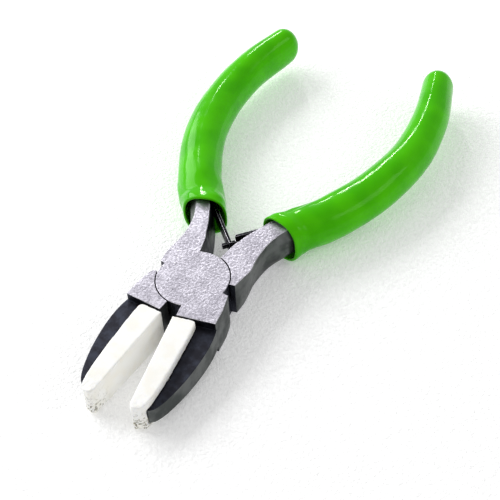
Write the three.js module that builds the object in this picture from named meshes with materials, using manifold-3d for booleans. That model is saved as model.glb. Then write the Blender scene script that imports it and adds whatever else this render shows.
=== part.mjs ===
// Flat-nose pliers with nylon jaws, a lap joint, dipped grips and a double leaf return spring.
// Millimetres. The pivot axis is Z, the jaws point to -Y, the handles to +Y, and z = 0 is the joint's underside.
import * as THREE from "three";
import { mergeVertices } from "three/addons/utils/BufferGeometryUtils.js";
import Module from "manifold-3d";

const wasm = await Module();
wasm.setup();

// ---- Driving dimensions ----
const jointThickness = 9.8;
const bossRadius = 9.0;
const bossGap = 0.28; // radial gap between a boss and the seat it turns in
const lapGap = 0.1; // between the two lapped faces
const openAngle = THREE.MathUtils.degToRad(13.83); // between the halves as they lie relaxed

const rivetRadius = 2.6;
const rivetHeadRadius = 3.5;
const rivetHeadDepth = 1.2;
const runningClearance = 0.05;

const shoulderY = 12.2; // from the pivot to the step where the jaws begin
const shoulderReach = 10.75; // half width of the joint at that step
const shoulderInset = 0.82; // from the midline to the step's inner end
const stopStand = 1.25; // how far the stop faces stand out of the boss
const notchAngle = THREE.MathUtils.degToRad(-15.5); // stop face on the jaw side
const cheekAngle = THREE.MathUtils.degToRad(18); // stop face on the handle side

const jawLean = THREE.MathUtils.degToRad(1.5); // both jaws point this far to +X of the handles' midline
const jawLength = 26.4; // steel tongue, from the shoulder to its tip
const jawLapSide = 2.8; // steel tongue, from the joint's middle to its face on the lap side
const jawRootSide = 2.7; // the same on the outer side, at the shoulder
const jawTipSide = 1.45; // and at the tip
const jawWidth = 11.1; // steel tongue, from the grip plane to its widest point
const jawTipWidth = 4.4;
const jawRootRun = 1.6; // how far the tongue runs back into the joint
const jawTipRound = 0.4; // how far the tongue's outer edge curls in at its tip
const jawTipCut = 0.64; // share of the tip's width that is cut off obliquely beside the grip plane

const nylonPast = 2.0; // nylon beyond the steel tongue's tip
const nylonRootWidth = 6.1;
const nylonTipWidth = 3.9;
const nylonCorner = 1.0;
const nylonRootThickness = 9.5;
const nylonTipThickness = 8.0;
const nylonGripSkin = 2.6; // nylon between the steel tongue and the work
const nylonGap = 0.3; // between the nylon and the steel it wraps
const shoulderGap = 0.45; // between the shoulder and the nylon
const pegRadius = 1.2;
const pegLength = 6.8;
const pegInset = 1.9; // from the tongue's inner edge to the first peg

const mouthY = 24.75; // open end of each grip
const mouthX = 7.75; // its centre, out from the midline
const handleLength = 74.15; // from the mouth to the end of the grip
const handleBow = 19.95; // how far out the handle's centreline swings
const mouthSideGap = 0.505; // between the spring's blade and the bore at the mouth
const mouthHeightGap = 0.65; // between the tang's faces and the bore at the mouth
const mouthCornerGap = 2.3; // between the tang's hand edge and the bore at the mouth, at least
const mouthRun = 4.0; // from the full mouth to the plain oval
const gripRadius = 5.85; // just past the mouth
const gripDip = 0.27; // how much lower the grip is at mid length
const gripEndHalfWidth = 4.2;
const gripEndHalfHeight = 5.6;
const gripWall = 1.35;
const mouthWall = 0.7;
const mouthSquareness = 2.6; // exponent of the oval at the mouth, 2 being a plain ellipse
const mouthSquareRun = 10; // from the square-cut mouth to sections square to the path

const waistInnerX = 2.1; // inner edge of the tang beside the boss, lap face
const waistOuterX = 9.25; // hand edge at the narrowest place, lap face
const tangInnerSide = 2.75; // edges of the tang from the mouth's centre, lap face
const tangHandSide = 2.65;
const tangEntry = 1.6; // how far the full-depth tang runs into the grip
const tangDraft = 1.45; // how much narrower the outer face is on the hand side
const tangInnerDraft = 0.6;
const bevelDepth = 2.4; // height of the bevels on the hand side
const bevelWidth = 1.5; // their width at the mouth
const coreHalfWidth = 2.1; // handle inside the grip
const coreHalfThickness = 2.6;
const coreEndGap = 5.0; // from the core's end to the inside of the grip's end
const coreOffset = 0.9; // the core runs this far to the hand side of the grip's axis at the mouth
const coreOffsetRun = 24;
const coreRootRun = 2.0; // how far the core runs back into the tang
const coreRootInset = 1.3; // how much its hand side draws in there
const coreGap = 0.1; // least room between the core's corners and the bore

const leafThickness = 0.7;
const leafHeight = 5.0;
const leafGap = 0.2; // between the spring's foot and the core
const leafFootStation = 7.0; // rivet, measured along the grip from its mouth
const leafFootLength = 3.0; // past the rivet
const leafBend = 0.9; // from the rivet to each end of the bend
const leafReach = 7.15; // from the mouths back to where the two leaves cross on the midline
const leafTangGap = 0.3; // between the blade and the tang's end beside it, at least
const leafPast = 1.9; // what each leaf has beyond the crossing
const tongueHeight = 1.5;
const tongueLength = 3.6;
const windowHeight = 2.2;
const windowLength = 3.3;
const springRivetRadius = 0.9;
const springRivetHeadRadius = 1.7;
const springRivetHead = 0.75;
const springRivetGap = 0.03; // between the leaf and the underside of the rivet's head, at its rim
const springRivetDepth = 2.6;

const middle = jointThickness / 2;
const nylonLength = jawLength + nylonPast - shoulderGap;
const leafCrossingY = mouthY - leafReach;
const gripMouthHalfHeight = middle + mouthHeightGap + mouthWall;
const upward = new THREE.Vector3(0, 0, 1);

// ---- Materials ----
const forgedSteel = new THREE.MeshStandardMaterial({ color: 0xb9b8c0, roughness: 0.5, metalness: 0.9 });
const rivetSteel = new THREE.MeshStandardMaterial({ color: 0xb4b4ba, roughness: 0.45, metalness: 0.9 });
const springSteel = new THREE.MeshStandardMaterial({ color: 0x26241f, roughness: 0.4, metalness: 0.8 });
const dippedVinyl = new THREE.MeshStandardMaterial({ color: 0x46c208, roughness: 0.25, metalness: 0 });
const whiteNylon = new THREE.MeshStandardMaterial({ color: 0xf2f0e6, roughness: 0.55, metalness: 0 });

// ---- Helpers ----
const point = (x, y) => new THREE.Vector2(x, y);
const polar = (radius, angle) => point(radius * Math.cos(angle), radius * Math.sin(angle));
const angleOf = (p) => Math.atan2(p.y, p.x);

// A closed geometry as a manifold-3d solid.
function solid(geometry) {
  const bare = geometry.index ? geometry.toNonIndexed() : geometry.clone();
  bare.deleteAttribute("normal");
  bare.deleteAttribute("uv");
  const merged = mergeVertices(bare, 1e-4);
  return new wasm.Manifold(
    new wasm.Mesh({
      numProp: 3,
      vertProperties: merged.attributes.position.array,
      triVerts: new Uint32Array(merged.index.array),
    }),
  );
}

// A solid as a named mesh.
function meshOf(name, body, material) {
  const made = body.getMesh();
  const geometry = new THREE.BufferGeometry();
  geometry.setAttribute("position", new THREE.BufferAttribute(new Float32Array(made.vertProperties), 3));
  geometry.setIndex(new THREE.BufferAttribute(new Uint32Array(made.triVerts), 1));
  geometry.computeVertexNormals();
  const mesh = new THREE.Mesh(geometry, material);
  mesh.name = name;
  return mesh;
}

// Points of an arc about the pivot, without its two ends.
function bossArc(from, to) {
  const arcStep = THREE.MathUtils.degToRad(5);
  const steps = Math.max(2, Math.round(Math.abs(to - from) / arcStep));
  return Array.from({ length: steps - 1 }, (_, i) =>
    polar(bossRadius, THREE.MathUtils.lerp(from, to, (i + 1) / steps)),
  );
}

// A straight prism of an outline between two heights.
function prism(outline, low, high) {
  return new THREE.ExtrudeGeometry(new THREE.Shape(outline), {
    depth: high - low,
    bevelEnabled: false,
  }).translate(0, 0, low);
}

// A solid through outlines with the same number of points, one at each height.
function levelled(outlines, heights) {
  const geometry = new THREE.ExtrudeGeometry(new THREE.Shape(outlines[0]), {
    depth: heights.length - 1,
    steps: heights.length - 1,
    bevelEnabled: false,
  });
  const position = geometry.attributes.position;
  for (let v = 0; v < position.count; v++) {
    const level = Math.round(position.getZ(v));
    const here = point(position.getX(v), position.getY(v));
    let nearest = 0;
    outlines[0].forEach((p, i) => {
      if (p.distanceToSquared(here) < outlines[0][nearest].distanceToSquared(here)) nearest = i;
    });
    const moved = outlines[level][nearest];
    position.setXYZ(v, moved.x, moved.y, heights[level]);
  }
  return geometry;
}

// A prism whose two faces lie at heights that change with the distance from the pivot towards the tips.
function sloped(outline, lowAt, highAt) {
  const geometry = prism(outline, 0, 1);
  const position = geometry.attributes.position;
  for (let v = 0; v < position.count; v++) {
    const distance = -position.getY(v);
    position.setZ(v, position.getZ(v) > 0.5 ? highAt(distance) : lowAt(distance));
  }
  return geometry;
}

// A round solid on an axis through at, pointing along direction, from [radius, distance] pairs.
function turned(profile, at, direction, sides) {
  const lathe = new THREE.LatheGeometry(profile.map(([r, d]) => point(r, d)), sides);
  const turn = new THREE.Quaternion().setFromUnitVectors(new THREE.Vector3(0, 1, 0), direction);
  return lathe.applyQuaternion(turn).translate(at.x, at.y, at.z);
}

// [radius, distance] pairs of a plain cylinder.
const column = (radius, low, high) => [
  [0, low],
  [radius, low],
  [radius, high],
  [0, high],
];

// ---- The handle's path, for the half whose handle lies at -X when the pliers are closed ----
const endY = mouthY + handleLength - gripEndHalfWidth; // centre of the grip's round end

// A point of the path, by its share of the bow and its share of the way to the end's centre.
const pathPoint = (bowShare, lengthShare) =>
  point(-bowShare * handleBow, THREE.MathUtils.lerp(mouthY, endY, lengthShare));
const handlePath = new THREE.SplineCurve([
  point(-mouthX, mouthY),
  pathPoint(0.582, 0.112),
  pathPoint(0.74, 0.207),
  pathPoint(0.917, 0.356),
  pathPoint(1, 0.516),
  pathPoint(0.977, 0.675),
  pathPoint(0.844, 0.837),
  pathPoint(0.61, 1),
]);
handlePath.arcLengthDivisions = 400;
const pathLength = handlePath.getLength();
const pathShare = (station) => THREE.MathUtils.clamp(station / pathLength, 0, 1);

// Direction across the path at a station, towards the midline.
function across(station) {
  const tangent = handlePath.getTangentAt(pathShare(station));
  return point(tangent.y, -tangent.x);
}

// A point beside the path, offset towards the midline.
const beside = (station, offset) => handlePath.getPointAt(pathShare(station)).addScaledVector(across(station), offset);

const ease = (t) => THREE.MathUtils.smoothstep(t, 0, 1);
const coreShift = (station) => -coreOffset * (1 - ease(station / coreOffsetRun));

// ---- Steel half ----
const neckY = (bossRadius + mouthY) / 2;
const cheekReach = bossRadius + stopStand;
const tangInnerX = tangInnerSide - mouthX;
const tangHandX = -tangHandSide - mouthX;
const entryY = mouthY + tangEntry;
const entryShift = handlePath.getPointAt(pathShare(tangEntry)).x + mouthX; // how far the path swings out there

// Farthest that the tang may reach towards the midline without touching the spring's blade.
const besideBlade = (y) => bladeX(y) - leafThickness - leafTangGap;

// Edge of the tang towards the midline, from the boss to just inside the grip. Draft is 1 on the outer face.
function innerEdge(draft) {
  const shift = tangInnerDraft * draft;
  return new THREE.SplineCurve([
    point(-0.2 * bossRadius, 0.98 * bossRadius),
    point(-waistInnerX + 0.15 - 0.5 * shift, neckY - 3.5),
    point(-waistInnerX - 0.25 - shift, neckY - 1),
    point(-waistInnerX - 1.1 - shift, mouthY - 5.4),
    point(Math.min(tangInnerX, besideBlade(mouthY)) - shift, mouthY),
    point(Math.min(tangInnerX + entryShift, besideBlade(entryY)) - shift, entryY),
  ]).getPoints(16);
}

// Edge of the tang on the hand side, from just inside the grip to the stop face beside the boss.
function handEdge(draft, bevel) {
  const shift = tangDraft * draft;
  const stand = bevelWidth * bevel;
  return new THREE.SplineCurve([
    point(tangHandX + 0.8 * entryShift + 0.7 * shift - stand, entryY),
    point(tangHandX + 0.7 * shift - stand, mouthY),
    point(tangHandX + 0.8 + 0.75 * shift - 0.8 * stand, mouthY - 2.6),
    point(-waistOuterX + 0.1 + 0.85 * shift - 0.4 * stand, mouthY - 5.2),
    point(-waistOuterX + shift, mouthY - 8.4),
    point(-waistOuterX - 0.45 + 1.1 * shift, neckY - 4.2),
    point(-cheekReach - 0.3 + 1.1 * shift, bossRadius + 0.4),
    point(-cheekReach - 0.12 + 0.5 * shift, 0.7 * bossRadius),
    point(-cheekReach * Math.cos(cheekAngle) - 0.45 + 0.25 * shift, cheekReach * Math.sin(cheekAngle)),
  ]).getPoints(24);
}

// The joint and the tang as far as the grip's mouth, at one level.
function halfOutline(draft, bevel) {
  const inner = innerEdge(draft);
  const stop = Math.PI - cheekAngle;
  const notchReach = cheekReach + 0.15 + 0.25 * draft;
  const inside = point(shoulderInset, -Math.sqrt(bossRadius ** 2 - shoulderInset ** 2));
  return [
    point(shoulderReach, -shoulderY),
    point(shoulderReach + 0.08, -0.62 * shoulderY),
    point(shoulderReach - 0.3, -0.36 * shoulderY),
    polar(notchReach, notchAngle),
    polar(bossRadius, notchAngle),
    ...bossArc(notchAngle, angleOf(inner[0])),
    ...inner,
    ...handEdge(draft, bevel),
    polar(bossRadius, stop),
    ...bossArc(stop, angleOf(inside) + 2 * Math.PI),
    inside,
    point(shoulderInset, -shoulderY),
  ];
}

// The lap face is at z = 0 and the outer face at the joint's full thickness.
function steelHalf(lean) {
  const outlines = [halfOutline(0, 0), halfOutline(0.2, 1), halfOutline(0.8, 1), halfOutline(1, 0)];
  const heights = [0, bevelDepth, jointThickness - bevelDepth, jointThickness];
  const seatRadius = bossRadius + bossGap;
  const seat = turned(column(seatRadius, -1, middle + lapGap / 2), new THREE.Vector3(), upward, 72);
  const pegHole = column(pegRadius + nylonGap, -1, jointThickness + 1);
  const half = solid(levelled(outlines, heights))
    .add(solid(leaned(jawTongue(), lean)))
    .add(solid(handleCore()))
    .subtract(solid(seat))
    .subtract(solid(pivotRivet(runningClearance)))
    .subtract(solid(springRivet(runningClearance)));
  return pegPlaces().reduce(
    (made, at) => made.subtract(solid(leaned(turned(pegHole, at, upward, 24), lean))),
    half,
  );
}

// ---- Jaws ----
const steelTip = shoulderY + jawLength;
const jawShare = (share) => -(shoulderY + share * jawLength);
const lapFaceAt = () => middle - jawLapSide;
const outerFaceAt = (distance) =>
  middle + THREE.MathUtils.mapLinear(distance, shoulderY, steelTip, jawRootSide, jawTipSide);

// Turns a jaw piece about the inner end of the shoulder line.
const leaned = (geometry, lean) => geometry.translate(0, shoulderY, 0).rotateZ(lean).translate(0, -shoulderY, 0);

const jawEdge = new THREE.SplineCurve([
  point(shoulderReach + 0.1, jawShare(0)),
  point(jawWidth, jawShare(0.1)),
  point(jawWidth - 0.15, jawShare(0.25)),
  point(jawWidth - 0.85, jawShare(0.43)),
  point(jawWidth - 2.15, jawShare(0.64)),
  point(jawWidth - 4.1, jawShare(0.85)),
  point(jawTipWidth + 0.9, jawShare(0.965)),
  point(jawTipWidth - jawTipRound, jawShare(1)),
]);
const jawTipInner = THREE.MathUtils.lerp(nylonGripSkin, jawTipWidth - jawTipRound, jawTipCut);

function jawTongue() {
  const root = -shoulderY + jawRootRun;
  return sloped(
    [
      point(nylonGripSkin, root),
      point(nylonGripSkin, jawShare(0.9)),
      point(jawTipInner, jawShare(1)),
      ...jawEdge.getPoints(18).reverse(),
      point(shoulderReach - 0.4, root),
    ],
    lapFaceAt,
    outerFaceAt,
  );
}

function pegPlaces() {
  return [0.28, 0.62].map((share) => new THREE.Vector3(nylonGripSkin + pegInset - share, jawShare(share), 0));
}

function nylonOutline() {
  const start = -shoulderY - shoulderGap;
  const end = start - nylonLength;
  const at = (share) => start - share * nylonLength;
  const taper = (share) => nylonRootWidth - share * (nylonRootWidth - nylonTipWidth);
  return [
    point(0, start),
    point(0, end + 1.2),
    point(0.35, end + 0.25),
    point(1, end),
    point(nylonTipWidth - 1.5, end + 0.1),
    point(nylonTipWidth - 0.5, end + 0.9),
    point(taper(1), at(0.925)),
    point(taper(0.77), at(0.845)),
    point(taper(0.5), at(0.685)),
    point(taper(0.27), at(0.48)),
    point(taper(0.1), at(0.27)),
    point(nylonRootWidth, at(0.13)),
    point(nylonRootWidth, start - nylonCorner),
    point(nylonRootWidth - 0.3 * nylonCorner, start - 0.3 * nylonCorner),
    point(nylonRootWidth - nylonCorner, start),
  ];
}

// A nylon pad that wraps the steel tongue, with a slot that follows the tongue and two pegs through it.
function nylonJaw(lean) {
  const end = shoulderY + shoulderGap + nylonLength;
  const halfThickness = (distance) =>
    THREE.MathUtils.mapLinear(distance, shoulderY, end, nylonRootThickness, nylonTipThickness) / 2;
  const block = sloped(
    nylonOutline(),
    (distance) => middle - halfThickness(distance),
    (distance) => middle + halfThickness(distance),
  );
  const slotStart = nylonGripSkin - nylonGap;
  const slotEnd = jawShare(1) - nylonGap;
  const past = jawWidth + 2;
  const slot = sloped(
    [
      point(slotStart, -shoulderY + 1),
      point(slotStart, jawShare(0.9) - nylonGap),
      point(jawTipInner - nylonGap, slotEnd),
      point(past, slotEnd),
      point(past, -shoulderY + 1),
    ],
    () => lapFaceAt() - nylonGap,
    (distance) => outerFaceAt(distance) + nylonGap,
  );
  const peg = column(pegRadius, middle - pegLength / 2, middle + pegLength / 2);
  const pad = solid(leaned(block, lean)).subtract(solid(leaned(slot, lean)));
  return pegPlaces().reduce((made, at) => made.add(solid(leaned(turned(peg, at, upward, 24), lean))), pad);
}

// ---- Pivot ----
// Countersunk on both faces and ground flush. Grown, it is the cutter for its own hole.
function pivotRivet(grow) {
  const shank = rivetRadius + grow;
  const head = rivetHeadRadius + grow;
  const flush = [
    [0, 0],
    [head, 0],
    [shank, rivetHeadDepth],
    [shank, jointThickness - rivetHeadDepth],
    [head, jointThickness],
    [0, jointThickness],
  ];
  const cutter = [
    [0, -1],
    [head, -1],
    ...flush.slice(1, -1),
    [head, jointThickness + 1],
    [0, jointThickness + 1],
  ];
  return turned(grow > 0 ? cutter : flush, new THREE.Vector3(), upward, 48);
}

// ---- Handle inside the grip ----
const boreEnd = pathLength + gripEndHalfWidth - gripWall;
const coreEnd = boreEnd - coreEndGap;

// Half width of the core at a station: as stated, or what the bore leaves for its corners.
function coreSide(station) {
  const [width, height] = gripSection(station, wallAt(station));
  const room = width * Math.sqrt(1 - (coreHalfThickness / height) ** 2) - coreGap + coreShift(station);
  return Math.min(coreHalfWidth, room);
}

function handleCore() {
  const steps = 26;
  const stations = Array.from({ length: steps + 1 }, (_, i) => (i / steps) * coreEnd);
  const side = (sign) => stations.map((s) => beside(s, coreShift(s) + sign * coreSide(s)));
  const hand = side(-1);
  const inner = side(1);
  const handRoot = hand[0].clone().add(point(coreRootInset, -coreRootRun));
  const innerRoot = inner[0].clone().add(point(0, -coreRootRun));
  return prism(
    [handRoot, innerRoot, ...inner, ...hand.toReversed()],
    middle - coreHalfThickness,
    middle + coreHalfThickness,
  );
}

// ---- Grip ----
// [half width, half height, exponent] of the grip's section at a station, set in by a wall.
function gripSection(station, wall) {
  const u = pathShare(station);
  const mouth = 1 - ease((station - tangEntry) / mouthRun);
  const width = THREE.MathUtils.lerp(gripRadius, gripEndHalfWidth, u * u);
  const height = THREE.MathUtils.lerp(gripRadius, gripEndHalfHeight, u) - gripDip * 4 * u * (1 - u);
  return [
    THREE.MathUtils.lerp(width, gripMouthHalfWidth, mouth) - wall,
    THREE.MathUtils.lerp(height, gripMouthHalfHeight, mouth) - wall,
    THREE.MathUtils.lerp(2, mouthSquareness, mouth),
  ];
}

const wallAt = (station) => THREE.MathUtils.lerp(mouthWall, gripWall, ease((station - 2) / 6));

// Sections of the round end, from the path's end outwards.
function capRows(wall) {
  const count = 6;
  const width = gripEndHalfWidth - wall;
  const height = gripEndHalfHeight - wall;
  return Array.from({ length: count }, (_, i) => {
    const a = (((i + 1) / count) * Math.PI) / 2;
    return [pathLength + width * Math.sin(a), width * Math.cos(a), height * Math.cos(a), 2];
  });
}

// A sleeve turned straight along the path's length, then bent onto the path and made oval.
function grip() {
  const shell = Array.from({ length: 35 }, (_, i) => (i / 34) ** 1.35 * pathLength);
  const bore = Array.from({ length: 21 }, (_, i) => (i / 20) ** 1.5 * pathLength);
  const rows = [
    ...capRows(0).reverse(),
    ...shell.map((s) => [s, ...gripSection(s, 0)]).reverse(),
    [-mouthWall * 0.35, ...gripSection(0, mouthWall * 0.2)],
    [-mouthWall * 0.35, ...gripSection(0, mouthWall * 0.8)],
    ...bore.map((s) => [s, ...gripSection(s, wallAt(s))]),
    ...capRows(gripWall),
  ];
  const profile = rows.map((_, i) => point(i === 0 || i === rows.length - 1 ? 0 : 1, i));
  const geometry = new THREE.LatheGeometry(profile, 28);
  const position = geometry.attributes.position;
  for (let v = 0; v < position.count; v++) {
    const [station, width, height, exponent] = rows[Math.round(position.getY(v))];
    const onAxis = Math.hypot(position.getX(v), position.getZ(v)) < 0.5;
    const angle = Math.atan2(-position.getZ(v), position.getX(v));
    const round = (Math.abs(Math.cos(angle)) ** exponent + Math.abs(Math.sin(angle)) ** exponent) ** (-1 / exponent);
    const reach = onAxis ? 0 : round;
    const turn = across(station).angle() * ease(station / mouthSquareRun);
    const beyond = station - THREE.MathUtils.clamp(station, 0, pathLength);
    const at = handlePath
      .getPointAt(pathShare(station))
      .addScaledVector(handlePath.getTangentAt(pathShare(station)), beyond)
      .addScaledVector(polar(1, turn), width * reach * Math.cos(angle));
    position.setXYZ(v, at.x, at.y, middle + height * reach * Math.sin(angle));
  }
  return geometry;
}

// ---- Return spring ----
const footOffset = coreShift(leafFootStation) + coreHalfWidth + leafGap + leafThickness / 2;
const footAt = beside(leafFootStation, footOffset);
const footTangent = handlePath.getTangentAt(pathShare(leafFootStation));
const footNormal = new THREE.Vector3(footTangent.y, -footTangent.x, 0); // towards the midline
const crossing = point(0, leafCrossingY).rotateAround(point(0, 0), -openAngle / 2);
const crossingDistance = crossing.distanceTo(footAt);
const bladeDirection = crossing.clone().sub(footAt).normalize();
const bladeRise = bladeDirection.x * footNormal.x + bladeDirection.y * footNormal.y; // per millimetre along it
const springRivetLift = springRivetHeadRadius * bladeRise + springRivetGap;
const bladeX = (y) => footAt.x + (bladeDirection.x * (y - footAt.y)) / bladeDirection.y;
const bladeRoom = bladeX(mouthY) + mouthX + leafThickness / 2 + mouthSideGap;
const gripMouthHalfWidth = Math.max(bladeRoom, tangHandSide + mouthCornerGap) + mouthWall;
const alongBlade = (distance) => footAt.clone().addScaledVector(bladeDirection, distance);
const rivetCentre = new THREE.Vector3(footAt.x, footAt.y, middle);

// A strip of the spring's thickness along a run of points, standing on its edge.
function strip(points, low, high) {
  const halfWidth = leafThickness / 2;
  const side = (sign) =>
    points.map((p, i) => {
      const before = points[Math.max(i - 1, 0)];
      const after = points[Math.min(i + 1, points.length - 1)];
      const direction = after.clone().sub(before).normalize();
      return point(p.x + sign * direction.y * halfWidth, p.y - sign * direction.x * halfWidth);
    });
  return prism([...side(-1).reverse(), ...side(1)], low, high);
}

// A box along the blade, between two distances from the rivet and two heights.
function bladeBox(near, far, low, high) {
  const box = new THREE.BoxGeometry(far - near, 8 * leafThickness, high - low);
  const at = alongBlade((near + far) / 2);
  return box.rotateZ(bladeDirection.angle()).translate(at.x, at.y, (low + high) / 2);
}

// One leaf ends in a narrow tongue, and the other has the window that the tongue slides in.
function leaf(isTongue) {
  const low = middle - leafHeight / 2;
  const high = middle + leafHeight / 2;
  const end = crossingDistance + leafPast;
  const foot = footAt.clone().addScaledVector(footTangent, leafFootLength);
  const bendStart = footAt.clone().addScaledVector(footTangent, leafBend);
  const blade = solid(strip([foot, bendStart, alongBlade(leafBend), alongBlade(end)], low, high));
  const drill = 2 * leafThickness; // past both faces of the foot
  const hole = turned(column(springRivetRadius + leafGap, -drill, drill), rivetCentre, footNormal, 20);
  const body = blade.subtract(solid(hole));
  if (!isTongue) {
    const near = crossingDistance - windowLength / 2;
    const window = bladeBox(near, near + windowLength, middle - windowHeight / 2, middle + windowHeight / 2);
    return body.subtract(solid(window));
  }
  const shoulder = end - tongueLength;
  return body
    .subtract(solid(bladeBox(shoulder, end + 1, low - 1, middle - tongueHeight / 2)))
    .subtract(solid(bladeBox(shoulder, end + 1, middle + tongueHeight / 2, high + 1)));
}

// Pan-head rivet through the spring's foot into the core. Grown, it is the cutter for its hole.
function springRivet(grow) {
  const face = leafThickness / 2 + springRivetLift;
  const shank = springRivetRadius + grow;
  const bottom = -leafThickness / 2 - leafGap - springRivetDepth - grow;
  const head = springRivetHeadRadius;
  const rivet = [
    [0, bottom],
    [shank, bottom],
    [shank, face],
    [head, face],
    [head, face + 0.4 * springRivetHead],
    [0.75 * head, face + 0.85 * springRivetHead],
    [0, face + springRivetHead],
  ];
  return turned(grow > 0 ? column(shank, bottom, face) : rivet, rivetCentre, footNormal, 20);
}

// ---- Assembly ----
const pliers = new THREE.Group();

// Each half is modelled closed. The lower one is the upper one turned over about Y, but for the jaws' lean.
function halfGroup(names, isUpper) {
  const lean = isUpper ? jawLean : -jawLean;
  const group = new THREE.Group();
  group.add(meshOf(names.half, steelHalf(lean), forgedSteel));
  group.add(meshOf(names.jaw, nylonJaw(lean), whiteNylon));
  group.add(meshOf(names.grip, solid(grip()), dippedVinyl));
  group.add(meshOf(names.leaf, leaf(!isUpper), springSteel));
  group.add(meshOf(names.springRivet, solid(springRivet(0)), rivetSteel));
  const opened = new THREE.Group();
  opened.rotation.z = isUpper ? openAngle / 2 : -openAngle / 2;
  if (!isUpper) {
    group.rotation.y = Math.PI;
    group.position.z = jointThickness;
  }
  opened.add(group);
  return opened;
}

const upperNames = {
  half: "upper_half",
  jaw: "right_nylon_jaw",
  grip: "left_grip",
  leaf: "left_leaf_spring",
  springRivet: "left_spring_rivet",
};
const lowerNames = {
  half: "lower_half",
  jaw: "left_nylon_jaw",
  grip: "right_grip",
  leaf: "right_leaf_spring",
  springRivet: "right_spring_rivet",
};
pliers.add(halfGroup(upperNames, true));
pliers.add(halfGroup(lowerNames, false));
pliers.add(meshOf("pivot_rivet", solid(pivotRivet(0)), rivetSteel));

export default pliers;
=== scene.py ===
"""Nylon-jaw flat-nose pliers with dipped grips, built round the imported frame.

Each sub-assembly is a class that holds its sizes, in millimetres, and has methods that build and
dress its meshes.
"""

import logging
import math
from dataclasses import dataclass, field
from enum import Enum, IntEnum
from typing import Protocol

import bmesh
import bpy
import numpy as np
from mathutils import Matrix, Vector


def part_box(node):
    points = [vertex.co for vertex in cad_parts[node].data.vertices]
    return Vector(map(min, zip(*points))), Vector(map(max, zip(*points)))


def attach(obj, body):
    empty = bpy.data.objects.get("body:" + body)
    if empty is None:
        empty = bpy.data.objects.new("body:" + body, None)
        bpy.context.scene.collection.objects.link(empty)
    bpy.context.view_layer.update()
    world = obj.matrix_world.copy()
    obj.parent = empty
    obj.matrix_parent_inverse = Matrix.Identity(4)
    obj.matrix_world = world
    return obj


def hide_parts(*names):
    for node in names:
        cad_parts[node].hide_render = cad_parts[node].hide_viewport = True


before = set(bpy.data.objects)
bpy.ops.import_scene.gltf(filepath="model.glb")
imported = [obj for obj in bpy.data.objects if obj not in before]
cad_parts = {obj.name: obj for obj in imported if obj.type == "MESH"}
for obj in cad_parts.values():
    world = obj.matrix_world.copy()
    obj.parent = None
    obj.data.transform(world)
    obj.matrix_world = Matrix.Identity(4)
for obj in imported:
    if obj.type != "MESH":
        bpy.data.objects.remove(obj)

MM = 0.001
LOG = logging.getLogger("pliers")
Array = np.ndarray

DOUBLES = 0.004  # CAD vertices nearer together than this, in millimetres, are one
SLIVER = 0.02  # faces thinner than this, in millimetres, are dissolved
FLAT_WITHIN = 0.6  # degrees by which the triangles of one flat face may differ


# ---------------------------------------------------------------- frame and placing


@dataclass(frozen=True)
class Joint:
    """The lap joint that both halves share, as the frame has it."""

    thickness: float = 9.8
    open_angle: float = math.radians(13.83)
    boss_radius: float = 9.0

    @property
    def middle(self) -> float:
        """Height of the joint's middle plane."""
        return self.thickness / 2


JOINT = Joint()


class Half(Enum):
    """The two halves, each modelled closed with its handle at -X, then opened.

    The lower one is turned over about Y before it is opened.
    """

    UPPER = "upper"
    LOWER = "lower"

    @property
    def body(self) -> str:
        """Name of the CAD body that this half's pieces ride on."""
        return self.value

    @property
    def handle(self) -> str:
        """Side on which this half's handle lies."""
        return "left" if self is Half.UPPER else "right"

    @property
    def jaw(self) -> str:
        """Side on which this half's jaw lies."""
        return "right" if self is Half.UPPER else "left"

    def to_rest(self, points: Array) -> Array:
        """Takes points from the closed half to the rest pose: turned over if lower, then opened.

        Args:
            points: Array (..., 3) in millimetres.
        Returns:
            Array of the same shape.
        """
        x, y, z = points[..., 0], points[..., 1], points[..., 2]
        turn = JOINT.open_angle / 2
        if self is Half.LOWER:
            x, z, turn = -x, JOINT.thickness - z, -turn
        c, s = math.cos(turn), math.sin(turn)
        return np.stack([c * x - s * y, s * x + c * y, z], axis=-1)

    def to_closed(self, points: Array) -> Array:
        """Undoes to_rest.

        Args:
            points: Array (..., 3) in millimetres.
        Returns:
            Array of the same shape.
        """
        turn = JOINT.open_angle / 2 * (1 if self is Half.UPPER else -1)
        c, s = math.cos(-turn), math.sin(-turn)
        x = c * points[..., 0] - s * points[..., 1]
        y = s * points[..., 0] + c * points[..., 1]
        z = points[..., 2]
        if self is Half.LOWER:
            x, z = -x, JOINT.thickness - z
        return np.stack([x, y, z], axis=-1)


# ---------------------------------------------------------------- numbers on arrays


def ease(t: Array | float) -> Array:
    """Smooth step: 3t^2 - 2t^3 with t held between 0 and 1."""
    t = np.clip(t, 0.0, 1.0)
    return t * t * (3 - 2 * t)


def mix(a: Array | float, b: Array | float, share: Array | float) -> Array:
    """Goes evenly from a to b as share goes from 0 to 1."""
    return a + (b - a) * share


def bump_at(value: Array, centre: Array | float, width: float) -> Array:
    """Bell curve exp(-((value - centre) / width)^2)."""
    return np.exp(-(((value - centre) / width) ** 2))


def ripple(points: Array, wavelength: float, seed: int, waves: int = 14) -> Array:
    """Smooth unevenness: plane sine waves of nearly one wavelength, in seeded directions, added up.

    Args:
        points: Array (..., 3) in millimetres.
        wavelength: Typical distance between crests, in millimetres.
        seed: Picks the waves.
        waves: How many are added.
    Returns:
        Array (...) with values of about -1.5 to 1.5.
    """
    dice = np.random.default_rng(seed)
    directions = dice.normal(size=(waves, 3))
    directions /= np.linalg.norm(directions, axis=1)[:, None]
    pitch = 2 * math.pi / (wavelength * dice.uniform(0.7, 1.4, waves))
    phase = dice.uniform(0, 2 * math.pi, waves)
    total = np.sin(np.asarray(points) @ directions.T * pitch + phase).sum(axis=-1)
    return total / math.sqrt(waves / 2)


# ---------------------------------------------------------------- meshes


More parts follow.
